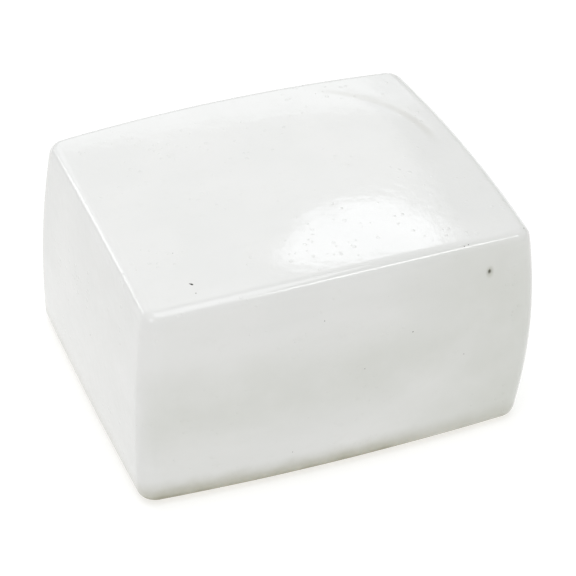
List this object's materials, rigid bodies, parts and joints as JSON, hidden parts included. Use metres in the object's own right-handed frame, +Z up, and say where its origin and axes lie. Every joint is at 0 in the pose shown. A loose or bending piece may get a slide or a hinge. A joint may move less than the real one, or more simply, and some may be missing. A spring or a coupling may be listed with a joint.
{
  "type": "raised pavement marker",
  "caption": "Thick white glazed ceramic road marker block with crowned top, bowed walls, rounded edges and a bare knobbed foot for adhesive.",
  "frame": {"origin": "middle of the foot, on the road surface", "axes": "+Z up out of the road through the crowned top, +X along the longer side of the block"},
  "size_m": [0.1006, 0.0864, 0.056],
  "materials": {
    "fired_clay": "matte",
    "white_glaze": "gloss"
  },
  "bodies": {
    "root": {"ceramic_body": "fired_clay", "glaze_coat": "white_glaze"}
  },
  "joints": []
}
